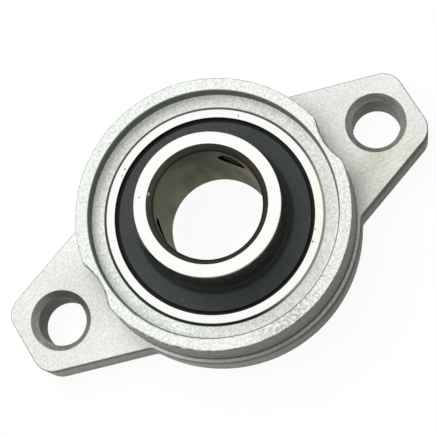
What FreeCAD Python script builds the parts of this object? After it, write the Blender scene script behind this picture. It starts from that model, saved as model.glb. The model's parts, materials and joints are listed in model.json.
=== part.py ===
import FreeCAD, Part
import math
import os

# Two-bolt flanged bearing unit: a cast housing whose spherical seat holds a self-aligning ball bearing
# insert. Millimetres. The origin is on the bearing axis in the mounting face, +Z points to the front and
# +X along the line of the two bolt holes.

# Bearing insert
shaft_bore_d = 15.0
insert_od = 32.0
ball_d = 4.762
ball_count = 9
race_clearance = 0.02
groove_ratio = 1.04
inner_shoulder = 0.70
outer_shoulder = 0.85
ring_edge = 0.15

# Inner ring
inner_extension = 7.5
inner_rear_extension = 1.5
bore_mouth = 0.85
bore_mouth_depth = 1.20
bore_rear_mouth = 0.30

# Ball cage, two pressed halves and their rivets
cage_sheet = 0.40
cage_width = 1.90
pocket_clearance = 0.10
rivet_d = 0.70
rivet_head_d = 1.20
rivet_head = 0.25

# Seals
seal_thickness = 1.05
seal_recess = 0.35
seal_to_cage = 0.219
seal_shoulder = 0.80
seal_fit = 0.02
bead_depth = 0.25
bead_height = 0.52
bead_lip = 0.30
rim_gap = 0.55
rim_slope = 0.10
lip_clearance = 0.04
lip_width = 0.28
lip_height = 0.40
ridge_width = 0.20
ridge_rise = 0.25
ridge_slope = 0.10
lip_groove = 0.15
face_slope = 0.35
face_drop = 0.30

# Set screws in the long end of the inner ring
screw_d = 4.0
screw_length = 3.0
screw_clearance = 0.03
screw_above_outer_ring = 2.9
screw_tip_recess = 0.10
first_screw_deg = 36.0
screw_spread_deg = 135.0
socket_across_flats = 2.0
socket_depth = 1.2
point_d = 2.4
point_cup = 0.35
screw_edge = 0.30

# Housing, from the seat outwards
seat_clearance = 0.03
rear_setback = 2.0
seat_rear_margin = 0.20
rear_edge = 0.40
ledge_drop = 0.30
seat_edge = 0.17
recess_margin = 1.45
recess_depth = 2.3
recess_draft = 0.05
recess_foot_r = 0.50
ring_face_width = 1.65
ring_edge_r = 0.20
boss_draft = 0.35
boss_foot_r = 0.15
flange_ledge = 0.60
flange_thickness = 6.5
flange_edge_r = 0.25
slot_clearance = 0.20
slot_depth = 0.10

# Housing, lugs and bolt holes
bolt_hole_d = 7.0
bolt_mouth = 0.90
bolt_mouth_depth = 1.10
bolt_axis_to_ring = 7.15
scallop_depth = 1.00
scallop_corner_r = 1.5
lug_end_margin = 6.2
lug_end_width = 10.6
lug_flare_deg = 18.4
lug_corner_r = 3.0
lug_root_r = 1.2

# Worked out from the sizes above
ball_r = ball_d / 2
bore_r = shaft_bore_d / 2
insert_r = insert_od / 2
pitch_r = (bore_r + insert_r) / 2
groove_r = ball_r * groove_ratio
pocket_r = ball_r + pocket_clearance
inner_groove_r = pitch_r - ball_r - race_clearance
outer_groove_r = pitch_r + ball_r + race_clearance
inner_land_r = inner_groove_r + inner_shoulder
outer_land_r = outer_groove_r - outer_shoulder
seal_seat_r = outer_land_r + seal_shoulder

seal_back = pocket_r + cage_sheet + seal_to_cage
seal_front = seal_back + seal_thickness
outer_half_width = seal_front + seal_recess

centre_z = rear_setback + outer_half_width
outer_front_z = centre_z + outer_half_width
outer_rear_z = centre_z - outer_half_width
inner_rear_z = outer_rear_z - inner_rear_extension
inner_front_z = outer_front_z + inner_extension
screw_z = outer_front_z + screw_above_outer_ring
screw_angles = [first_screw_deg, first_screw_deg + screw_spread_deg]

seat_r = insert_r + seat_clearance
ledge_z = outer_front_z - ledge_drop
housing_height = ledge_z + recess_depth
recess_r = insert_r + recess_margin
ring_inner_r = recess_r + recess_draft + ring_edge_r
boss_front_r = ring_inner_r + ring_face_width
boss_base_r = boss_front_r + boss_draft
flange_r = boss_base_r + flange_ledge
bolt_x = boss_front_r + bolt_axis_to_ring
scallop_r = bolt_axis_to_ring + scallop_depth
lug_end_x = bolt_x + lug_end_margin
overrun = 1.0

UP = FreeCAD.Vector(0, 0, 1)
BEARING_CENTRE = FreeCAD.Vector(0, 0, centre_z)
# Share of a quarter round's radius that lies between its middle and each of its two tangents
QUARTER_ROUND_SAG = 1 - math.sqrt(0.5)
SAME_PLACE = 1e-6
HEXAGON_SIDES = 6


def at(x, y, z):
    return FreeCAD.Vector(x, y, z)


def via(radius, height):
    """Marks a point that bends the step between its two neighbours in a profile into an arc."""
    return ("via", radius, height)


def turned(profile):
    """Solid of revolution about Z from a closed profile of (radius, height) points."""
    edges = []
    start = None
    bend = None
    for step in profile + profile[:1]:
        if step[0] == "via":
            bend = at(step[1], 0, step[2])
            continue
        here = at(step[0], 0, step[1])
        if bend is not None:
            edges.append(Part.Arc(start, bend, here).toShape())
        elif start is not None:
            edges.append(Part.makeLine(start, here))
        start = here
        bend = None
    return Part.Face(Part.Wire(edges)).revolve(at(0, 0, 0), UP, 360)


def mirrored(shape):
    """The same piece on the other side of the bearing's middle plane."""
    return shape.mirror(BEARING_CENTRE, UP)


def sphere_radius_at(radius, offset):
    """Radius of a sphere's section at a distance from its centre."""
    return math.sqrt(radius**2 - offset**2)


def ball_places():
    """Centres of the balls on the pitch circle."""
    for index in range(ball_count):
        angle = 2 * math.pi * index / ball_count
        yield at(pitch_r * math.cos(angle), pitch_r * math.sin(angle), centre_z)


def between_balls():
    """Points on the pitch circle midway between the balls."""
    for index in range(ball_count):
        angle = 2 * math.pi * (index + 0.5) / ball_count
        yield at(pitch_r * math.cos(angle), pitch_r * math.sin(angle), centre_z)


def is_upright(edge):
    low, high = edge.Vertexes[0].Point, edge.Vertexes[-1].Point
    sideways = math.hypot(high.x - low.x, high.y - low.y)
    return sideways < SAME_PLACE < abs(high.z - low.z)


def is_lug_end(edge):
    """True for an upright corner at the end of a lug."""
    return abs(edge.CenterOfMass.x) > bolt_x


def is_lug_root(edge):
    """True for an upright corner where a lug's flank meets the round flange, false for a seam."""
    point = edge.CenterOfMass
    on_flange = abs(math.hypot(point.x, point.y) - flange_r) < SAME_PLACE
    return on_flange and abs(point.y) > SAME_PLACE


def is_scallop_corner(edge):
    """True for a corner where a scallop's wall leaves the outside of the boss, false for a seam."""
    low, high = edge.Vertexes[0].Point, edge.Vertexes[-1].Point
    return abs(high.z - low.z) > SAME_PLACE and abs(edge.CenterOfMass.y) > SAME_PLACE


def is_boss_foot(edge):
    """True for an edge where the boss stands on the flange."""
    level = all(abs(vertex.Z - flange_thickness) < SAME_PLACE for vertex in edge.Vertexes)
    reach = max(math.hypot(vertex.X, vertex.Y) for vertex in edge.Vertexes)
    return level and reach < boss_base_r + SAME_PLACE


def lug_plate():
    """Flange of even thickness: a round plate with two tapering lugs, all corners rounded."""
    end_half = lug_end_width / 2
    middle_half = end_half + lug_end_x * math.tan(math.radians(lug_flare_deg))
    corners = [
        at(lug_end_x, end_half, 0),
        at(0, middle_half, 0),
        at(-lug_end_x, end_half, 0),
        at(-lug_end_x, -end_half, 0),
        at(0, -middle_half, 0),
        at(lug_end_x, -end_half, 0),
    ]
    lugs = Part.Face(Part.makePolygon(corners + corners[:1])).extrude(UP * flange_thickness)
    plate = lugs.fuse(Part.makeCylinder(flange_r, flange_thickness)).removeSplitter()
    ends = [edge for edge in plate.Edges if is_upright(edge) and is_lug_end(edge)]
    plate = plate.makeFillet(lug_corner_r, ends)
    roots = [edge for edge in plate.Edges if is_upright(edge) and is_lug_root(edge)]
    plate = plate.makeFillet(lug_root_r, roots)
    top = max(plate.Faces, key=lambda face: face.CenterOfMass.z)
    return plate.makeFillet(flange_edge_r, top.OuterWire.Edges)


def raised_ring():
    """Tapered boss round the seat, scalloped beside each bolt for the bolt head."""
    boss = turned([
        (0, 0),
        (boss_base_r, 0),
        (boss_base_r, flange_thickness),
        (boss_front_r, housing_height),
        (0, housing_height),
    ])
    for side in (-1, 1):
        foot = at(side * bolt_x, 0, flange_thickness)
        boss = boss.cut(Part.makeCylinder(scallop_r, housing_height, foot))
    boss = boss.makeFillet(scallop_corner_r, [edge for edge in boss.Edges if is_scallop_corner(edge)])
    face = max(boss.Faces, key=lambda face: face.CenterOfMass.z)
    return boss.makeFillet(ring_edge_r, face.OuterWire.Edges)


def seat_pocket():
    """Space for the insert: rear opening, spherical seat, ledge and front recess."""
    seat_rear_z = outer_rear_z + seat_rear_margin
    rear_r = sphere_radius_at(seat_r, centre_z - seat_rear_z)
    seat_front_z = ledge_z - seat_edge
    seat_front_r = sphere_radius_at(seat_r, seat_front_z - centre_z)
    foot_sag = recess_foot_r * QUARTER_ROUND_SAG
    top_z = housing_height + overrun
    return turned([
        (0, -overrun),
        (rear_r + rear_edge, -overrun),
        (rear_r + rear_edge, 0),
        (rear_r, rear_edge),
        (rear_r, seat_rear_z),
        via(seat_r, centre_z),
        (seat_front_r, seat_front_z),
        (seat_front_r + seat_edge, ledge_z),
        (recess_r - recess_foot_r, ledge_z),
        via(recess_r - foot_sag, ledge_z + foot_sag),
        (recess_r, ledge_z + recess_foot_r),
        (recess_r + recess_draft, housing_height - ring_edge_r),
        (ring_inner_r, housing_height),
        (ring_inner_r, top_z),
        (0, top_z),
    ])


def bolt_hole(x):
    """Bolt hole with a wide bevelled mouth at the front."""
    radius = bolt_hole_d / 2
    mouth_z = flange_thickness - bolt_mouth_depth
    hole = Part.makeCylinder(radius, flange_thickness + 2 * overrun, at(x, 0, -overrun))
    mouth = Part.makeCone(radius, radius + bolt_mouth, bolt_mouth_depth, at(x, 0, mouth_z))
    return hole.fuse(mouth)


def loading_slots():
    """Two slots in the rear of the seat that let the insert in edgeways before it is turned flat."""
    reach = seat_r + slot_depth
    half = outer_half_width + slot_clearance
    bar = Part.makeBox(2 * reach, 2 * half, centre_z + overrun, at(-reach, -half, -overrun))
    return bar.common(Part.makeCylinder(reach, centre_z + overrun, at(0, 0, -overrun)))


def housing():
    body = lug_plate().fuse(raised_ring()).removeSplitter()
    body = body.makeFillet(boss_foot_r, [edge for edge in body.Edges if is_boss_foot(edge)])
    body = body.cut(seat_pocket())
    body = body.cut(loading_slots())
    for side in (-1, 1):
        body = body.cut(bolt_hole(side * bolt_x))
    return body.removeSplitter()


def outer_ring():
    """Ring with a spherical outside, a ball groove inside and a seal seat at each end."""
    groove_centre_r = outer_groove_r - groove_r
    groove_half = math.sqrt(groove_r**2 - (outer_land_r - groove_centre_r) ** 2)
    face_r = sphere_radius_at(insert_r, outer_half_width - ring_edge)
    bead_r = seal_seat_r + bead_depth
    bead_top = seal_back + bead_height
    front = [
        (outer_land_r, seal_back),
        (bead_r, seal_back),
        (bead_r, bead_top),
        (seal_seat_r, bead_top + bead_lip),
        (seal_seat_r, outer_half_width),
        (face_r - ring_edge, outer_half_width),
        (face_r, outer_half_width - ring_edge),
    ]
    rear = [(radius, -height) for radius, height in reversed(front)]
    groove = [
        (outer_land_r, -groove_half),
        via(outer_groove_r, 0),
        (outer_land_r, groove_half),
    ]
    ring = turned(front + [via(insert_r, 0)] + rear + groove)
    return ring.translated(BEARING_CENTRE)


def outward(angle):
    """Radial direction at an angle from +X."""
    turn = math.radians(angle)
    return at(math.cos(turn), math.sin(turn), 0)


def inner_ring():
    """Wide ring with the shaft bore, a ball groove and two set screw holes in its long end."""
    groove_centre_r = inner_groove_r + groove_r
    groove_half = math.sqrt(groove_r**2 - (groove_centre_r - inner_land_r) ** 2)
    ring = turned([
        (bore_r, inner_rear_z + bore_rear_mouth),
        (bore_r + bore_rear_mouth, inner_rear_z),
        (inner_land_r - ring_edge, inner_rear_z),
        (inner_land_r, inner_rear_z + ring_edge),
        (inner_land_r, centre_z - groove_half),
        via(inner_groove_r, centre_z),
        (inner_land_r, centre_z + groove_half),
        (inner_land_r, inner_front_z - ring_edge),
        (inner_land_r - ring_edge, inner_front_z),
        (bore_r + bore_mouth, inner_front_z),
        (bore_r, inner_front_z - bore_mouth_depth),
    ])
    hole_r = screw_d / 2 + screw_clearance
    hole_length = inner_land_r + overrun
    for angle in screw_angles:
        ring = ring.cut(Part.makeCylinder(hole_r, hole_length, UP * screw_z, outward(angle)))
    return ring


def front_seal():
    """Moulded seal: a bead held in the outer ring, a flat face and a ridged lip by the inner ring."""
    bead_r = seal_seat_r + bead_depth - seal_fit
    bead_top = seal_back + bead_height - seal_fit
    lip_r = inner_land_r + lip_clearance
    lip_top = seal_front - face_drop - ridge_rise + lip_groove
    ridge_in_r = lip_r + lip_width
    ridge_top = lip_top + ridge_rise
    groove_floor = ridge_top - lip_groove
    ridge_out_r = ridge_in_r + ridge_slope + ridge_width
    slope_r = ridge_out_r + ridge_slope + lip_groove
    seal = turned([
        (lip_r + lip_width, seal_back),
        (bead_r, seal_back),
        (bead_r, bead_top),
        (seal_seat_r - rim_gap + rim_slope, bead_top),
        (seal_seat_r - rim_gap, seal_front),
        (slope_r + face_slope, seal_front),
        (slope_r, groove_floor),
        (ridge_out_r + ridge_slope, groove_floor),
        (ridge_out_r, ridge_top),
        (ridge_in_r + ridge_slope, ridge_top),
        (ridge_in_r, lip_top),
        (lip_r, lip_top),
        (lip_r, lip_top - lip_height),
    ])
    return seal.translated(BEARING_CENTRE)


def front_cage_half():
    """Pressed ribbon with a round pocket over each ball and a flat with a rivet hole between pockets."""
    inner_r = pitch_r - cage_width / 2
    outer_r = pitch_r + cage_width / 2
    band_height = pocket_r + cage_sheet
    band = Part.makeCylinder(outer_r, band_height, BEARING_CENTRE)
    band = band.cut(Part.makeCylinder(inner_r, band_height, BEARING_CENTRE))
    cups = [Part.makeSphere(pocket_r + cage_sheet, place) for place in ball_places()]
    flat = Part.makeCylinder(outer_r, cage_sheet, BEARING_CENTRE)
    half = band.common(flat.fuse(cups))
    half = half.cut([Part.makeSphere(pocket_r, place) for place in ball_places()])
    rivet_holes = [Part.makeCylinder(rivet_d / 2, cage_sheet, place) for place in between_balls()]
    return half.cut(rivet_holes)


def cage_rivet(place):
    """Rivet through both cage halves, with a flat head on each."""
    shank_half = cage_sheet + rivet_head
    shank = Part.makeCylinder(rivet_d / 2, 2 * shank_half, place - UP * shank_half)
    front = Part.makeCylinder(rivet_head_d / 2, rivet_head, place + UP * cage_sheet)
    rear = Part.makeCylinder(rivet_head_d / 2, rivet_head, place - UP * shank_half)
    return shank.fuse([front, rear]).removeSplitter()


def set_screw(angle):
    """Socket set screw with a cup point, its tip just clear of the bore."""
    radius = screw_d / 2
    point_r = point_d / 2
    screw = turned([
        (0, point_cup),
        (point_r, 0),
        (radius, radius - point_r),
        (radius, screw_length - screw_edge),
        (radius - screw_edge, screw_length),
        (0, screw_length),
    ])
    corner_r = socket_across_flats / math.sqrt(3)
    floor_z = screw_length - socket_depth
    corners = []
    for index in range(HEXAGON_SIDES):
        corner = outward(360 * index / HEXAGON_SIDES) * corner_r
        corners.append(corner + UP * floor_z)
    hexagon = Part.Face(Part.makePolygon(corners + corners[:1]))
    screw = screw.cut(hexagon.extrude(UP * (socket_depth + overrun)))
    tip = outward(angle) * (bore_r + screw_tip_recess) + UP * screw_z
    screw.Placement = FreeCAD.Placement(tip, FreeCAD.Rotation(UP, outward(angle)))
    return screw


def sub_parts():
    """Every node's name and shape."""
    seal = front_seal()
    cage_half = front_cage_half()
    nodes = {
        "housing": housing(),
        "outer_ring": outer_ring(),
        "inner_ring": inner_ring(),
        "seal_front": seal,
        "seal_rear": mirrored(seal),
        "cage_front": cage_half,
        "cage_rear": mirrored(cage_half),
        "cage_rivets": Part.makeCompound([cage_rivet(place) for place in between_balls()]),
    }
    for number, place in enumerate(ball_places(), 1):
        nodes[f"ball_{number}"] = Part.makeSphere(ball_r, place)
    for number, angle in enumerate(screw_angles, 1):
        nodes[f"set_screw_{number}"] = set_screw(angle)
    return nodes


os.makedirs("parts", exist_ok=True)
for name, shape in sub_parts().items():
    shape.exportStep(f"parts/{name}.step")
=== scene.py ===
import bmesh
import bpy
import json
import math
from mathutils import Matrix, Vector


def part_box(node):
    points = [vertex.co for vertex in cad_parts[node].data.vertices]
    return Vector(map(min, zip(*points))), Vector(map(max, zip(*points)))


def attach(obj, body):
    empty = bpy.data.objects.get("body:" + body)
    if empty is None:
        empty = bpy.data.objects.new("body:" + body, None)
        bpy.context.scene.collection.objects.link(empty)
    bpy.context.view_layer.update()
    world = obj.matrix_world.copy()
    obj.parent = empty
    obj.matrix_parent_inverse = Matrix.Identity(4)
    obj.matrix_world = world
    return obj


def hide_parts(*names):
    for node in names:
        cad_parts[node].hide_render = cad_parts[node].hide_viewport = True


# Two-bolt flanged bearing unit: finishes, threaded set screws, camera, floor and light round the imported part

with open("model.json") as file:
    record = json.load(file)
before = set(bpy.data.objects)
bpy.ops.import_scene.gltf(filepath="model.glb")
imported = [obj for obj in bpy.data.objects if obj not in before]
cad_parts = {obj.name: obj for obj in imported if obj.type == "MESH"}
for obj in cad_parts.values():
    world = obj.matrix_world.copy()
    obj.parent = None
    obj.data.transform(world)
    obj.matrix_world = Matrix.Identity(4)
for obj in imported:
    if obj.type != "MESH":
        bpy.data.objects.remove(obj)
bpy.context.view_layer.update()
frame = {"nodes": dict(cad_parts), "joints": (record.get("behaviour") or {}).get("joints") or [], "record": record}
scene = bpy.context.scene
scene.view_settings.view_transform = "Standard"
METRES_PER_MM = 0.001


def top_of(node):
    """Height of a node's top above the mounting face, in millimetres."""
    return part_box(node)[1].z / METRES_PER_MM


def sizes_of(mount):
    """Sizes of a mount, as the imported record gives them."""
    return next(entry["dims"] for entry in frame["record"]["mounts"] if entry["name"] == mount)


def screw_angles():
    """Angle of each set screw from +X, in degrees, from the joint that moves it inwards."""
    angles = {}
    for joint in frame["joints"]:
        if joint["type"] == "slide":
            x, y, _ = joint["axis"]
            angles[joint["child"]] = math.degrees(math.atan2(-y, -x))
    return angles


# Heights on the part, in millimetres above the mounting face
SEAT_REAR = 2.3
FLANGE_TOP = 6.5
SEAL_TOP = top_of("seal_front")
LEDGE_TOP = 10.7
OUTER_RING_TOP = top_of("outer_ring")
FRONT_RING_TOP = top_of("housing")
INNER_RING_TOP = top_of("inner_ring")

# Radii about the bearing axis, in millimetres
BORE_R = sizes_of("shaft_bore")["r_mm"]
BORE_MOUTH_R = 8.35
INNER_RING_R = 10.05
SEAL_LIP_R = 11.02
SEAL_RIM_R = 13.55
SEAL_SEAT_R = 14.1
OUTER_FACE_R = 15.29
GAP_R = 15.7
RECESS_R = 17.45
FRONT_RING_INNER_R = 17.7
FRONT_RING_OUTER_R = 19.35
RING_FOOT_R = 19.7

# Bolt holes, and the front ring's hollow round each bolt's axis, in millimetres
BOLT_X = sizes_of("bolt_holes")["spacing_x_mm"] / 2.0
BOLT_HOLE_R = sizes_of("bolt_holes")["hole_r_mm"]
BOLT_MOUTH_R = 4.4
BOLT_MOUTH_MIDDLE = FLANGE_TOP - 0.55
HOLLOW_R = 8.15

# Set screws, in millimetres and degrees
SCREW_Z = 13.9
SCREW_ANGLES = screw_angles()
SCREW_TIP_R = 7.6
SCREW_LENGTH = 3.0
SCREW_R = 2.0
SCREW_EDGE = 0.3
THREAD_PITCH = 0.7
THREAD_ROOT_R = 1.66
POINT_R = 1.2
CUP_DEPTH = 0.35
SOCKET_ACROSS_FLATS = 2.0
SOCKET_DEPTH = 1.2


def outward(angle):
    """Radial direction at an angle from +X, in degrees."""
    return Vector((math.cos(math.radians(angle)), math.sin(math.radians(angle)), 0.0))


def on_ring(radius, angle, height):
    """Point at a radius, angle and height round the bearing axis."""
    return outward(angle) * radius + Vector((0.0, 0.0, height))


class Tree:
    """The node tree of a material or a world, with short ways to add to it."""

    def __init__(self, owner, output):
        owner.use_nodes = True
        self.tree = owner.node_tree
        self.tree.nodes.clear()
        self.output = self.node(output)

    def node(self, kind, **settings):
        made = self.tree.nodes.new("ShaderNode" + kind)
        for key, value in settings.items():
            setattr(made, key, value)
        return made

    def feed(self, socket, value):
        """Links a node's result to a socket, or sets the socket to a plain value."""
        if isinstance(value, bpy.types.NodeSocket):
            self.tree.links.new(value, socket)
        elif socket.type == "RGBA":
            socket.default_value = tuple(value) + (1.0,)
        else:
            socket.default_value = value

    def end(self, shader):
        """Ends the tree in this shader."""
        self.feed(self.output.inputs["Surface"], shader.outputs[0])

    def maths(self, operation, first, second=0.0):
        made = self.node("Math", operation=operation)
        self.feed(made.inputs[0], first)
        self.feed(made.inputs[1], second)
        return made.outputs[0]

    def both(self, first, second):
        """Product, which is 1 where two shares are both 1."""
        return self.maths("MULTIPLY", first, second)

    def either(self, first, second):
        """The larger, which is 1 where one of two shares is 1."""
        return self.maths("MAXIMUM", first, second)

    def total(self, first, second):
        return self.maths("ADD", first, second)

    def less(self, first, second):
        return self.maths("SUBTRACT", first, second)

    def step(self, value, low, high, from_level=0.0, to_level=1.0):
        """Smooth step of a value between two limits."""
        made = self.node("MapRange", interpolation_type="SMOOTHSTEP")
        self.feed(made.inputs["Value"], value)
        made.inputs["From Min"].default_value = low
        made.inputs["From Max"].default_value = high
        made.inputs["To Min"].default_value = from_level
        made.inputs["To Max"].default_value = to_level
        return made.outputs["Result"]

    def below(self, value, limit, soft=0.02):
        """1 below a limit, 0 above it."""
        return self.step(value, limit - soft, limit + soft, 1.0, 0.0)

    def above(self, value, limit, soft=0.02):
        """1 above a limit, 0 below it."""
        return self.step(value, limit - soft, limit + soft)

    def band(self, value, low, high, soft=0.02):
        """1 between two limits, 0 outside them."""
        return self.both(self.above(value, low, soft), self.below(value, high, soft))

    def mix(self, share, first, second, blend="MIX"):
        """Mix of two colours, which sockets 6 and 7 take and output 2 gives."""
        made = self.node("Mix", data_type="RGBA", blend_type=blend)
        self.feed(made.inputs[0], share)
        self.feed(made.inputs[6], first)
        self.feed(made.inputs[7], second)
        return made.outputs[2]

    def tinted(self, colour, share, tint):
        """Colour multiplied by a tint where the share is 1."""
        return self.mix(share, colour, tint, "MULTIPLY")

    def seen_directly(self):
        """1 for what the camera sees, straight or by way of a reflection or glass."""
        path = self.node("LightPath").outputs
        seen = self.either(path["Is Camera Ray"], path["Is Glossy Ray"])
        return self.either(seen, path["Is Transmission Ray"])


class Finish(Tree):
    """One surface finish. Places and lengths are in millimetres."""

    def __init__(self, name):
        self.material = bpy.data.materials.new(name)
        super().__init__(self.material, "OutputMaterial")
        self.place = self.vector("SCALE", self.node("TexCoord").outputs["Object"], scale=1.0 / METRES_PER_MM)
        self.x, self.y, self.height = self.split(self.place)
        self.radius = self.length(self.x, self.y)

    def vector(self, operation, first, second=None, scale=None):
        made = self.node("VectorMath", operation=operation)
        self.feed(made.inputs[0], first)
        if second is not None:
            self.feed(made.inputs[1], second)
        if scale is not None:
            self.feed(made.inputs["Scale"], scale)
        return made.outputs["Value" if operation in ("LENGTH", "DISTANCE", "DOT_PRODUCT") else "Vector"]

    def split(self, vector):
        made = self.node("SeparateXYZ")
        self.feed(made.inputs[0], vector)
        return made.outputs

    def length(self, x, y):
        flat = self.node("CombineXYZ")
        self.feed(flat.inputs["X"], x)
        self.feed(flat.inputs["Y"], y)
        return self.vector("LENGTH", flat.outputs[0])

    def near(self, centre, inner, outer):
        """1 near a point, fading to 0 between two distances from it."""
        return self.step(self.vector("DISTANCE", self.place, centre), inner, outer, 1.0, 0.0)

    def screw_axis(self, angle):
        """Distance from a set screw's axis, and distance along it from the bearing axis."""
        direction = outward(angle)
        arm = self.vector("SUBTRACT", self.place, (0.0, 0.0, SCREW_Z))
        along = self.vector("DOT_PRODUCT", arm, direction)
        carried = self.node("CombineXYZ")
        for axis, share in zip("XYZ", direction):
            self.feed(carried.inputs[axis], self.both(along, share))
        return self.vector("DISTANCE", arm, carried.outputs[0]), along

    def noise(self, size, detail=3.0, roughness=0.6, stretch=(1.0, 1.0, 1.0)):
        """Soft noise with lumps of about this size."""
        mapping = self.node("Mapping")
        mapping.inputs["Scale"].default_value = [share / size for share in stretch]
        self.feed(mapping.inputs["Vector"], self.place)
        made = self.node("TexNoise")
        made.inputs["Scale"].default_value = 1.0
        made.inputs["Detail"].default_value = detail
        made.inputs["Roughness"].default_value = roughness
        self.feed(made.inputs["Vector"], mapping.outputs["Vector"])
        return made.outputs["Fac"]

    def turning_lines(self, size=0.09):
        """Fine lines round the bearing axis, as grinding leaves them on faces and cylinders."""
        made = self.node("TexNoise", noise_dimensions="1D")
        made.inputs["Scale"].default_value = 1.0 / size
        made.inputs["Detail"].default_value = 3.0
        self.feed(made.inputs["W"], self.total(self.radius, self.height))
        return made.outputs["Fac"]

    def gap_shade(self):
        """Colour of painted shade in the gap round the outer ring, black on one side and thin on another."""
        black = self.near((-10.0, -12.0, LEDGE_TOP), 8.0, 30.0)
        colour = self.mix(black, (0.19, 0.193, 0.18), (0.085, 0.093, 0.08))
        thin = self.near((10.9, -10.9, LEDGE_TOP), 7.0, 15.0)
        return self.mix(thin, colour, (0.62, 0.62, 0.59))

    def bump(self, height, strength, depth):
        made = self.node("Bump")
        made.inputs["Strength"].default_value = strength
        made.inputs["Distance"].default_value = depth * METRES_PER_MM
        self.feed(made.inputs["Height"], height)
        return made.outputs["Normal"]

    def surface(self, **sockets):
        """Ends the tree in a principled shader with these sockets."""
        shader = self.node("BsdfPrincipled")
        for key, value in sockets.items():
            self.feed(shader.inputs[key.replace("_", " ")], value)
        self.end(shader)
        return self.material


class CastZinc(Finish):
    """Finish of the blasted casting, in layers that each take the colour so far and give the next."""

    def __init__(self, name):
        super().__init__(name)
        self.grain = self.noise(0.36, detail=2.0)
        self.front_ring = self.above(self.height, FRONT_RING_TOP - 0.07)
        self.ring_outside = self.above(self.radius, FRONT_RING_INNER_R + 0.2)
        between = self.band(self.height, FLANGE_TOP + 0.1, FRONT_RING_TOP - 0.2, 0.1)
        self.ring_walls = self.both(between, self.ring_outside)
        self.flange_face = self.band(self.height, FLANGE_TOP - 0.05, FLANGE_TOP + 0.04)
        self.right_lug = self.above(self.x, 0.0, 8.0)
        self.from_bolt = self.length(self.less(self.maths("ABSOLUTE", self.x), BOLT_X), self.y)
        self.off_hole = self.above(self.from_bolt, BOLT_MOUTH_R + 0.6, 0.2)

    def skin(self):
        """Pale cloudy metal, brighter on the front ring, with painted shade where the light falls off on one side
        of the ring.
        """
        clouds = self.step(self.noise(6.0, detail=4.0), 0.35, 0.65)
        colour = self.mix(clouds, (0.82, 0.845, 0.805), (0.885, 0.895, 0.86))
        colour = self.mix(self.both(self.front_ring, 0.8), colour, (0.898, 0.917, 0.879))
        # Painted shade on one side of the front ring, where the light falls off
        light_falloff = self.both(self.front_ring, self.near((14.5, -11.0, FRONT_RING_TOP - 1.0), 3.0, 17.0))
        return self.tinted(colour, light_falloff, (0.95, 0.955, 0.94))

    def ledge(self, colour):
        """Ledge in the recess, greyed against the front ring by painted shade except on one side, with painted
        light on another side and the deepest painted shade toward -Y.
        """
        level = self.band(self.height, LEDGE_TOP - 0.1, LEDGE_TOP + 0.1)
        face = self.both(self.band(self.radius, GAP_R, RECESS_R + 0.03), level)
        # Painted light on one side of the ledge
        pale = self.both(face, self.near((-14.5, 6.0, LEDGE_TOP), 3.0, 10.0))
        colour = self.mix(pale, colour, (0.97, 0.99, 0.95))
        cool = self.both(face, self.near((-14.0, -8.0, LEDGE_TOP), 3.0, 13.0))
        colour = self.tinted(colour, cool, (0.94, 0.985, 0.96))
        # Painted shade greys the ledge, with less of it on one side
        less_shaded = self.both(self.near((-14.5, -7.5, LEDGE_TOP), 3.0, 10.0), 0.7)
        colour = self.tinted(colour, self.both(face, self.less(1.0, less_shaded)), (0.865, 0.865, 0.862))
        # Deepest painted shade on the ledge, toward -Y
        most_shaded = self.both(face, self.near((3.0, -16.0, LEDGE_TOP), 4.0, 12.0))
        return self.tinted(colour, most_shaded, (0.92, 0.92, 0.92))

    def stains(self, colour):
        """Olive stain, a greyer patch beside the ring and painted light at the ring's foot on one lug; painted
        shade beside the ring and a duller place near the end of the other; a greenish front ring.
        """
        blotches = self.step(self.noise(2.5, detail=4.0, roughness=0.65), 0.38, 0.62, 0.5, 1.0)
        olive = self.both(self.near((25.0, -6.5, FLANGE_TOP), 2.0, 8.0), blotches)
        colour = self.tinted(colour, olive, (0.85, 0.85, 0.76))
        beside_ring = self.both(self.near((20.0, 0.0, FLANGE_TOP), 4.0, 10.0), self.flange_face)
        colour = self.tinted(colour, beside_ring, (0.885, 0.885, 0.87))
        # Painted light on the lug at the ring's foot
        painted_light_by_ring = self.both(self.near((20.0, 0.5, FLANGE_TOP), 1.5, 7.0), self.flange_face)
        colour = self.mix(self.both(painted_light_by_ring, 0.6), colour, (0.96, 0.965, 0.93))
        # Painted shade on the other lug beside the ring
        colour = self.tinted(colour, self.near((-21.5, 1.0, FLANGE_TOP), 1.5, 7.0), (0.87, 0.86, 0.85))
        colour = self.tinted(colour, self.near((-31.0, -1.5, FLANGE_TOP), 1.5, 5.0), (0.93, 0.955, 0.92))
        green = self.either(
            self.near((-18.0, 5.0, FRONT_RING_TOP), 2.0, 16.0),
            self.near((-8.0, 15.0, FRONT_RING_TOP), 8.0, 20.0),
        )
        return self.tinted(colour, self.both(self.front_ring, green), (0.958, 0.995, 0.974))

    def blasting(self, colour):
        """Grain, weaker on the flange's face, with dark specks that are thickest low on the front ring."""
        coarse = self.step(self.grain, 0.25, 0.75, 0.75, 1.11)
        fine = self.step(self.grain, 0.25, 0.75, 0.80, 1.06)
        colour = self.tinted(colour, 1.0, self.mix(self.flange_face, coarse, fine))
        worn = self.both(self.near((3.0, -18.4, FRONT_RING_TOP), 2.0, 11.0), self.front_ring)
        pits = self.noise(0.28, detail=1.5, roughness=0.5)
        specks = self.step(self.total(pits, self.both(worn, 0.14)), 0.69, 0.77)
        colour = self.tinted(colour, self.both(specks, 0.6), (0.35, 0.35, 0.34))
        scuffed = self.both(self.near((0.5, -18.5, FRONT_RING_TOP), 1.0, 7.0), self.front_ring)
        mottle = self.step(self.noise(0.5, detail=2.0), 0.4, 0.6)
        return self.tinted(colour, self.both(scuffed, mottle), (0.66, 0.66, 0.65))

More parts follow.
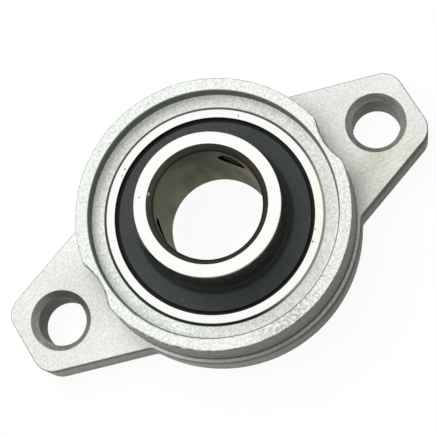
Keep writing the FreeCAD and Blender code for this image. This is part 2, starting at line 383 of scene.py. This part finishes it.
    def recess(self, colour):
        """Painted shade on the recess wall, and on the edge of the seat in the gap."""
        depth = self.band(self.height, LEDGE_TOP + 0.3, FRONT_RING_TOP - 0.04, 0.05)
        wall = self.both(self.band(self.radius, RECESS_R - 0.25, RECESS_R + 0.21), depth)
        # Painted shade: the recess wall dark grey-green
        colour = self.mix(wall, colour, (0.155, 0.17, 0.15))
        # Painted shade on the seat's edge in the gap
        seat_level = self.band(self.height, SEAT_REAR, LEDGE_TOP + 0.02)
        seat_edge = self.both(self.below(self.radius, GAP_R - 0.02), seat_level)
        return self.mix(seat_edge, colour, self.gap_shade())

    def bolt_holes(self, colour):
        """Drilling streaks and painted shade on the hole walls, painted light deep in one hole and on one side of
        it, and painted shade on the bevels, heavier on one side and in a few spots.
        """
        hole = self.both(
            self.below(self.from_bolt, BOLT_MOUTH_R - 0.03, 0.03),
            self.band(self.height, 0.1, FLANGE_TOP - 0.03),
        )
        # Drilling streaks, and painted shade on the hole walls
        marks_and_shade = self.step(self.noise(0.6, stretch=(0.25, 0.25, 1.6)), 0.3, 0.7, 0.38, 0.56)
        # Painted light deep in one hole and on one side of it
        marks_and_shade = self.total(marks_and_shade, self.both(self.step(self.height, 0.5, 4.5, 0.14, 0.0), self.right_lug))
        marks_and_shade = self.total(marks_and_shade, self.both(self.near((BOLT_X - 2.5, 2.5, 4.0), 1.0, 4.0), 0.28))
        # Painted shade on the bevels, heavier on one side and in a few spots
        across = self.vector("DOT_PRODUCT", self.place, outward(155.0))
        shade = self.less(self.step(across, 24.0, 27.5, 0.45, 0.0), self.both(self.right_lug, 0.15))
        spots = (
            (2.5 - BOLT_X, 3.0, 5.0, 0.24),
            (BOLT_X + 2.8, 2.8, 3.2, 0.18),
            (BOLT_X - 2.5, -3.0, 3.2, 0.15),
        )
        for x, y, reach, depth in spots:
            spot = self.near((x, y, BOLT_MOUTH_MIDDLE), 0.4 * reach, reach)
            shade = self.total(shade, self.both(spot, depth))
        bevel = self.both(self.above(self.from_bolt, BOLT_HOLE_R + 0.008, 0.004), shade)
        colour = self.tinted(colour, hole, self.both(marks_and_shade, self.less(1.0, bevel)))
        return self.tinted(colour, hole, (0.98, 1.0, 0.92))

    def walls(self, colour):
        """Painted shade on the walls of the lugs and of the ring, deeper on the right lug and near the ring's
        foot.
        """
        lug_walls = self.both(self.band(self.height, 0.1, FLANGE_TOP - 0.2, 0.1), self.off_hole)
        # Painted shade on the lug walls, deeper on the right lug
        lug_tint = self.mix(self.right_lug, (1.0, 1.0, 0.92), (0.80, 0.80, 0.72))
        colour = self.tinted(colour, lug_walls, lug_tint)
        # Painted shade on the ring's walls, deepest at the foot
        upper = self.step(self.height, FLANGE_TOP + 0.5, FRONT_RING_TOP - 2.0)
        ring_tint = self.mix(upper, (0.54, 0.54, 0.48), (0.70, 0.70, 0.63))
        return self.tinted(colour, self.ring_walls, ring_tint)

    def flange_shade(self, colour):
        """Painted shade on the lug walls just under their top edges, broad on the right lug, in the corner at the
        foot of the ring, along the ring's foot on one side and on the step under it.
        """
        # Painted shade under the lugs' top edges, broad on the right lug
        broad = self.step(self.height, FLANGE_TOP - 3.5, FLANGE_TOP - 1.0)
        narrow = self.step(self.height, FLANGE_TOP - 1.5, FLANGE_TOP - 0.7)
        lug_wall_shade = self.either(narrow, self.both(broad, self.right_lug))
        under_face = self.below(self.height, FLANGE_TOP - 0.03, 0.015)
        lug_rim = self.both(self.both(lug_wall_shade, under_face), self.off_hole)
        # Painted shade in the corner at the foot of the ring
        corner = self.band(self.height, FLANGE_TOP + 0.04, FLANGE_TOP + 0.2)
        tint = self.mix(self.right_lug, (0.42, 0.42, 0.40), (0.34, 0.34, 0.32))
        colour = self.tinted(colour, self.either(lug_rim, corner), tint)
        # Painted shade along the ring's foot on one side
        foot = self.band(self.height, FLANGE_TOP + 0.22, FLANGE_TOP + 1.0, 0.18)
        ring_foot = self.both(foot, self.near((0.7, -20.0, FLANGE_TOP + 0.5), 10.0, 20.0))
        colour = self.tinted(colour, self.both(self.ring_walls, ring_foot), (0.36, 0.36, 0.35))
        # Painted shadow on the step under the ring
        flange_step = self.both(self.near((-6.0, -19.2, FLANGE_TOP), 4.0, 14.0), self.flange_face)
        beyond_ring = self.above(self.radius, RING_FOOT_R)
        return self.tinted(colour, self.both(flange_step, beyond_ring), (0.70, 0.70, 0.68))

    def ring_edges(self, colour):
        """Painted shade on the front ring's edges, broken up by noise, thick where it is hollowed for the bolt
        heads.
        """
        chips = self.step(self.noise(0.8), 0.38, 0.62, 0.35, 1.0)
        rim_level = self.band(self.height, FRONT_RING_TOP - 0.28, FRONT_RING_TOP - 0.016, 0.008)
        hollows = self.below(self.from_bolt, HOLLOW_R + 0.35, 0.1)
        # Painted shade on the front ring's rim, thick at the hollows
        rim = self.both(self.both(rim_level, self.ring_outside), self.either(chips, hollows))
        colour = self.tinted(colour, rim, (0.28, 0.28, 0.26))
        # Painted shade on the outer and inner edges on one side and round the hollows
        outer_edge = self.both(
            self.above(self.radius, FRONT_RING_OUTER_R - 0.25, 0.03),
            self.near((-14.5, -12.5, FRONT_RING_TOP), 3.0, 7.0),
        )
        inner_edge = self.both(
            self.below(self.radius, FRONT_RING_INNER_R + 0.09, 0.03),
            self.near((-15.0, -9.0, FRONT_RING_TOP), 3.0, 10.0),
        )
        hollow_edge = self.below(self.from_bolt, HOLLOW_R + 0.27, 0.04)
        edges = self.either(self.either(outer_edge, hollow_edge), inner_edge)
        return self.tinted(colour, self.both(self.both(self.front_ring, edges), chips), (0.38, 0.39, 0.36))


def sandblasted_zinc():
    """Matt pale grey of the housing, with stains, specks, painted shade and light, and a fine grain."""
    zinc = CastZinc("sandblasted_zinc")
    colour = zinc.skin()
    layers = (
        zinc.ledge, zinc.stains, zinc.blasting, zinc.recess,
        zinc.bolt_holes, zinc.walls, zinc.flange_shade, zinc.ring_edges,
    )
    for layer in layers:
        colour = layer(colour)
    normal = zinc.bump(zinc.grain, 0.5, 0.06)
    return zinc.surface(Base_Color=colour, Roughness=0.7, Specular_IOR_Level=0.1, Normal=normal)


def ground_outer_ring():
    """Bright ground ring with specks, a creamy oily film on one side, and painted shade in the grooves at its
    face's edges.
    """
    steel = Finish("ground_outer_ring")
    haze = steel.noise(1.1)
    lines = steel.turning_lines()
    colour = steel.mix(haze, (0.955, 0.955, 0.925), (0.99, 0.99, 0.975))
    film = steel.both(steel.near((12.0, -8.0, OUTER_RING_TOP), 2.0, 11.0), steel.step(haze, 0.2, 0.5))
    colour = steel.tinted(colour, film, (0.98, 0.985, 0.925))
    specks = (
        (14.63, 45, 0.16), (14.52, 120, 0.20), (14.45, 124, 0.14),
        (14.35, -48, 0.20), (14.3, -41, 0.16),
    )
    for radius, angle, size in specks:
        speck = steel.near(on_ring(radius, angle, OUTER_RING_TOP), size * 0.4, size)
        colour = steel.tinted(colour, speck, (0.22, 0.20, 0.16))
    # Painted shade: the groove wall beside the seal black
    colour = steel.mix(steel.below(steel.radius, SEAL_SEAT_R + 0.04), colour, (0.03, 0.03, 0.028))
    # Painted shade on the ring's outer edge in the gap
    colour = steel.mix(steel.above(steel.radius, OUTER_FACE_R), colour, steel.gap_shade())
    return steel.surface(
        Base_Color=colour, Metallic=1.0, Roughness=steel.step(lines, 0.3, 0.7, 0.20, 0.32),
        Normal=steel.bump(lines, 0.08, 0.01),
    )


def bore_reflection_colours(steel):
    """Painted reflection colours of the bore, dark brown and olive in streaks, with a few lighter and deeper
    patches.
    """
    streaks = steel.step(steel.noise(2.6, detail=4.0, stretch=(1.0, 1.0, 0.3)), 0.35, 0.65)
    bore_reflection = steel.mix(streaks, (0.085, 0.088, 0.058), (0.145, 0.148, 0.102))
    # Painted reflection patches round the bore
    patches = (
        (130, 14.0, 1.0, 6.0, (0.145, 0.147, 0.105)),
        (15, 12.0, 0.5, 5.0, (0.26, 0.21, 0.14)),
        (-151, 15.0, 0.5, 4.0, (0.20, 0.17, 0.115)),
        (75, 16.0, 0.5, 5.0, (0.058, 0.048, 0.044)),
    )
    for angle, height, inner, outer, colour in patches:
        bore_reflection = steel.mix(steel.near(on_ring(BORE_R, angle, height), inner, outer), bore_reflection, colour)
    return steel.tinted(bore_reflection, steel.near(on_ring(BORE_R, 66, 8.0), 1.5, 6.0), (0.70, 0.69, 0.70))


def ground_inner_ring():
    """Bright ground face, painted reflection in the bore, painted shade in the bore mouth, and dark screw holes
    with thread lines.
    """
    steel = Finish("ground_inner_ring")
    radius, height = steel.radius, steel.height
    haze = steel.noise(1.1)
    lines = steel.turning_lines()
    colour = steel.mix(haze, (0.97, 0.965, 0.94), (1.0, 0.99, 0.975))
    speck = steel.near(on_ring(9.29, 142, INNER_RING_TOP), 0.06, 0.16)
    colour = steel.tinted(colour, speck, (0.25, 0.24, 0.2))
    outside = steel.both(
        steel.above(radius, INNER_RING_R - 0.08), steel.below(height, INNER_RING_TOP - 0.2, 0.1)
    )
    colour = steel.tinted(colour, outside, (0.95, 0.945, 0.91))

    # Painted reflection in the bore, painted shade in its mouth, deepest low down and on one side, and a painted
    # highlight on a burr at the mouth's edge
    bore = steel.below(radius, BORE_R + 0.06)
    mouth = steel.both(
        steel.below(radius, BORE_MOUTH_R + 0.01), steel.above(height, INNER_RING_TOP - 2.5, 0.1)
    )
    toward_top = steel.step(height, INNER_RING_TOP - 1.2, INNER_RING_TOP - 0.65)
    mouth_shade = steel.mix(toward_top, (0.030, 0.028, 0.020), (0.118, 0.116, 0.092))
    # Painted shade on one side of the mouth
    shaded_side = steel.near(on_ring(8.0, 62, INNER_RING_TOP - 0.5), 3.0, 8.0)
    mouth_shade = steel.tinted(mouth_shade, shaded_side, (0.66, 0.66, 0.68))
    colour = steel.mix(mouth, colour, mouth_shade)
    colour = steel.mix(bore, colour, bore_reflection_colours(steel))
    # Painted highlight: a white fleck on a burr
    burr = steel.near(on_ring(8.16, 137.5, INNER_RING_TOP - 0.28), 0.14, 0.28)
    colour = steel.mix(burr, colour, (0.9, 0.9, 0.88))
    inside = steel.both(steel.either(bore, mouth), steel.less(1.0, burr))

    # Threaded holes for the set screws
    for angle in SCREW_ANGLES.values():
        off_axis, along = steel.screw_axis(angle)
        hole = steel.both(steel.below(off_axis, SCREW_R + 0.07, 0.03), steel.above(along, 0.0))
        turns = steel.maths("SINE", steel.both(along, math.tau / THREAD_PITCH))
        thread = steel.mix(steel.step(turns, -0.6, 0.9), (0.008, 0.008, 0.007), (0.05, 0.045, 0.035))
        colour = steel.mix(hole, colour, thread)
        inside = steel.either(inside, hole)

    roughness = steel.total(steel.step(lines, 0.3, 0.7, 0.14, 0.24), steel.both(inside, 0.40))
    toward_edge = steel.step(height, INNER_RING_TOP - 1.3, INNER_RING_TOP - 0.4, -0.06, 0.35)
    face_lines = steel.both(lines, steel.above(height, INNER_RING_TOP - 0.05))
    return steel.surface(
        Base_Color=colour, Metallic=steel.less(1.0, burr),
        Roughness=steel.total(roughness, steel.both(outside, toward_edge)),
        Specular_Tint=(0.78, 0.78, 0.70), Normal=steel.bump(face_lines, 0.08, 0.01),
    )


def moulded_rubber():
    """Matt black rubber with a faint blue-green bloom and lint specks, with painted shade on one side, at its lip
    and on its rim.
    """
    rubber = Finish("moulded_rubber")
    grain = rubber.noise(0.35)
    bloom = rubber.noise(4.0)
    colour = rubber.mix(bloom, (0.031, 0.0375, 0.036), (0.049, 0.0575, 0.0545))
    # Painted shade on one side of the seal
    shaded_side = rubber.near((-2.0, -13.0, SEAL_TOP), 2.0, 11.0)
    colour = rubber.tinted(colour, shaded_side, (0.58, 0.60, 0.60))
    colour = rubber.tinted(colour, 1.0, rubber.step(grain, 0.25, 0.75, 0.75, 1.15))
    # Painted shade at the lip, beside the inner ring
    lip = rubber.band(rubber.radius, INNER_RING_R - 0.05, SEAL_LIP_R, 0.05)
    colour = rubber.tinted(colour, lip, (0.42, 0.42, 0.42))
    lint = rubber.step(rubber.noise(0.45, detail=1.0, roughness=0.5), 0.79, 0.83)
    colour = rubber.mix(rubber.both(lint, 0.5), colour, (0.30, 0.32, 0.31))
    # Painted shade: the rim in the groove nearly black
    rim = rubber.above(rubber.radius, SEAL_RIM_R - 0.05, 0.05)
    colour = rubber.mix(rim, colour, (0.009, 0.009, 0.009))
    return rubber.surface(
        Base_Color=colour, Roughness=rubber.step(grain, 0.2, 0.8, 0.5, 0.68), Specular_IOR_Level=0.3,
        Normal=rubber.bump(grain, 0.25, 0.03),
    )


def polished_steel():
    """Mirror-bright steel of the balls, with a faint haze."""
    steel = Finish("polished_ball_steel")
    haze = steel.noise(1.6, detail=2.0, roughness=0.5)
    colour = steel.mix(haze, (0.82, 0.82, 0.82), (0.90, 0.90, 0.89))
    return steel.surface(Base_Color=colour, Metallic=1.0, Roughness=steel.step(haze, 0.2, 0.8, 0.05, 0.12))


def pressed_sheet():
    """Grey steel sheet of the cage and its rivets."""
    sheet = Finish("pressed_cage_sheet")
    haze = sheet.noise(0.8)
    colour = sheet.mix(haze, (0.55, 0.55, 0.54), (0.68, 0.68, 0.66))
    return sheet.surface(Base_Color=colour, Metallic=1.0, Roughness=sheet.step(haze, 0.2, 0.8, 0.28, 0.45))


def black_oxide():
    """Blackened steel, oily toward the points, worn a little brighter on thread crests and socket ends."""
    oxide = Finish("black_oxide")
    haze = oxide.noise(0.5)
    worn = oxide.mix(haze, (0.055, 0.054, 0.052), (0.095, 0.092, 0.087))
    colour = oxide.mix(haze, (0.012, 0.012, 0.012), (0.024, 0.023, 0.021))
    for angle in SCREW_ANGLES.values():
        off_axis, along = oxide.screw_axis(angle)
        socket_end = oxide.step(along, SCREW_TIP_R + 1.4, SCREW_TIP_R + 2.4)
        colour = oxide.mix(socket_end, colour, worn)
        outermost = oxide.band(off_axis, SCREW_R - 0.07, SCREW_R + 0.05, 0.03)
        crest = oxide.both(outermost, oxide.above(along, 0.0))
        colour = oxide.mix(oxide.both(crest, haze), colour, (0.12, 0.11, 0.095))
    return oxide.surface(
        Base_Color=colour, Roughness=oxide.step(haze, 0.2, 0.8, 0.5, 0.65), Specular_IOR_Level=0.03
    )


def spun_thread(shape):
    """Adds a screw thread about Z to an empty shape, longer than the screw at both ends."""
    # Radius at the ends of the root and of the crest, by the share of a pitch
    one_turn = ((THREAD_ROOT_R, 0.0), (THREAD_ROOT_R, 0.16), (SCREW_R, 0.48), (SCREW_R, 0.64))
    profile = []
    turns = math.ceil(SCREW_LENGTH / THREAD_PITCH) + 2
    for turn in range(-1, turns):
        start = turn * THREAD_PITCH
        for radius, share in one_turn:
            profile.append(shape.verts.new((radius, 0.0, start + share * THREAD_PITCH)))
    flank = [shape.edges.new(pair) for pair in zip(profile, profile[1:])]
    steps = 36
    bmesh.ops.spin(
        shape, geom=profile + flank, cent=(0.0, 0.0, 0.0), axis=(0.0, 0.0, 1.0),
        dvec=(0.0, 0.0, THREAD_PITCH / steps), angle=math.tau, steps=steps,
    )
    bmesh.ops.remove_doubles(shape, verts=shape.verts, dist=0.002)


def open_edges(shape, height):
    """Edges of the opening that lies at this height."""
    found = []
    for edge in shape.edges:
        if edge.is_boundary and all(abs(vertex.co.z - height) < 0.01 for vertex in edge.verts):
            found.append(edge)
    return found


def threaded_screw(name, angle, finish):
    """Socket set screw with a cut thread and a cup point, in the space of its CAD screw."""
    shape = bmesh.new()
    spun_thread(shape)

    # Square ends, then the cone at the point and the bevel at the socket end
    for height, facing in ((0.0, -1.0), (SCREW_LENGTH, 1.0)):
        bmesh.ops.bisect_plane(
            shape, geom=shape.verts[:] + shape.edges[:] + shape.faces[:], dist=0.0001,
            plane_co=(0.0, 0.0, height), plane_no=(0.0, 0.0, facing), clear_outer=True,
        )
    for vertex in shape.verts:
        most = min(POINT_R + vertex.co.z, SCREW_R - SCREW_EDGE + SCREW_LENGTH - vertex.co.z)
        reach = vertex.co.xy.length
        if reach > most:
            vertex.co.xy *= most / reach

    # Cup in the point
    cup = bmesh.ops.edgeloop_fill(shape, edges=open_edges(shape, 0.0))["faces"]
    poked = bmesh.ops.poke(shape, faces=cup)
    for vertex in poked["verts"]:
        vertex.co = (0.0, 0.0, CUP_DEPTH)

    # Hexagon socket
    end = open_edges(shape, SCREW_LENGTH)
    socket = bmesh.ops.create_circle(
        shape, segments=6, radius=SOCKET_ACROSS_FLATS / math.sqrt(3.0),
        matrix=Matrix.Translation((0.0, 0.0, SCREW_LENGTH)),
    )["verts"]
    mouth = list({edge for vertex in socket for edge in vertex.link_edges})
    bmesh.ops.bridge_loops(shape, edges=end + mouth)
    wall = bmesh.ops.extrude_edge_only(shape, edges=mouth)["geom"]
    floor = [item for item in wall if isinstance(item, bmesh.types.BMVert)]
    bmesh.ops.translate(shape, verts=floor, vec=(0.0, 0.0, -SOCKET_DEPTH))
    bmesh.ops.edgeloop_fill(
        shape, edges=[edge for edge in shape.edges if all(vertex in floor for vertex in edge.verts)],
    )
    bmesh.ops.recalc_face_normals(shape, faces=shape.faces)

    direction = outward(angle)
    turned = direction.to_track_quat("Z", "Y").to_matrix().to_4x4()
    tip = Matrix.Translation(on_ring(SCREW_TIP_R, angle, SCREW_Z))
    bmesh.ops.transform(shape, verts=shape.verts, matrix=Matrix.Scale(METRES_PER_MM, 4) @ tip @ turned)
    mesh = bpy.data.meshes.new(name + "_threaded")
    shape.to_mesh(mesh)
    shape.free()
    mesh.shade_smooth()
    mesh.set_sharp_from_angle(angle=math.radians(35.0))
    mesh.materials.append(finish)
    screw = bpy.data.objects.new(name + "_threaded", mesh)
    scene.collection.objects.link(screw)
    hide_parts(name)
    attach(screw, name)


def pale_floor():
    """White ground that keeps the part's shadow, and throws little light back on it."""
    material = bpy.data.materials.new("pale_floor")
    floor = Tree(material, "OutputMaterial")
    seen = floor.seen_directly()
    diffuse = floor.node("BsdfDiffuse")
    floor.feed(diffuse.inputs["Color"], floor.mix(seen, (0.35, 0.35, 0.35), (0.95, 0.95, 0.95)))
    glow = floor.node("Emission")
    mix = floor.node("MixShader")
    floor.feed(mix.inputs[0], floor.both(seen, 0.93))
    floor.feed(mix.inputs[1], diffuse.outputs[0])
    floor.feed(mix.inputs[2], glow.outputs[0])
    floor.end(mix)
    mesh = bpy.data.meshes.new("floor")
    shape = bmesh.new()
    bmesh.ops.create_circle(shape, cap_ends=True, segments=64, radius=8.0)
    bmesh.ops.translate(shape, verts=shape.verts, vec=(0.0, 0.0, -0.05 * METRES_PER_MM))
    shape.to_mesh(mesh)
    shape.free()
    mesh.materials.append(material)
    plate = bpy.data.objects.new("floor", mesh)
    scene.collection.objects.link(plate)


def photo_camera():
    """Camera at the photograph's viewing angle."""
    data = bpy.data.cameras.new("camera")
    data.sensor_width = 36.0
    data.lens = 125.204
    data.clip_start = 0.01
    camera = bpy.data.objects.new("camera", data)
    camera.location = (0.000814, -0.052362, 0.216132)
    camera.rotation_euler = (0.208838, 0.132522, -0.546471)
    scene.collection.objects.link(camera)
    scene.camera = camera


def soft_light():
    """Soft light from above and from the side that the photograph shows lit, kept out of reflections."""
    data = bpy.data.lights.new("softbox", "AREA")
    data.shape = "SQUARE"
    data.size = 0.8
    data.energy = 8.6
    softbox = bpy.data.objects.new("softbox", data)
    softbox.location = (-0.13, 0.23, 0.77)
    part_middle = Vector((0.0, 0.0, 0.006))
    aim = part_middle - softbox.location
    softbox.rotation_euler = aim.to_track_quat("-Z", "Y").to_euler()
    softbox.visible_glossy = False
    scene.collection.objects.link(softbox)


def pale_room():
    """Weak even light from all round, on a white ground."""
    room = bpy.data.worlds.new("room")
    scene.world = room
    tree = Tree(room, "OutputWorld")
    background = tree.node("Background")
    tree.feed(background.inputs["Color"], (1.0, 1.0, 1.0))
    tree.feed(background.inputs["Strength"], tree.step(tree.seen_directly(), 0.0, 1.0, 0.09, 1.0))
    tree.end(background)


# Finish of each node, by the start of its name
finishes = {
    "housing": sandblasted_zinc(),
    "outer_ring": ground_outer_ring(),
    "inner_ring": ground_inner_ring(),
    "seal": moulded_rubber(),
    "ball": polished_steel(),
    "cage": pressed_sheet(),
    "set_screw": black_oxide(),
}
for name, node in frame["nodes"].items():
    start = next(start for start in finishes if name.startswith(start))
    node.material_slots[0].material = finishes[start]
for name, angle in SCREW_ANGLES.items():
    threaded_screw(name, angle, finishes["set_screw"])

photo_camera()
pale_floor()
soft_light()
pale_room()
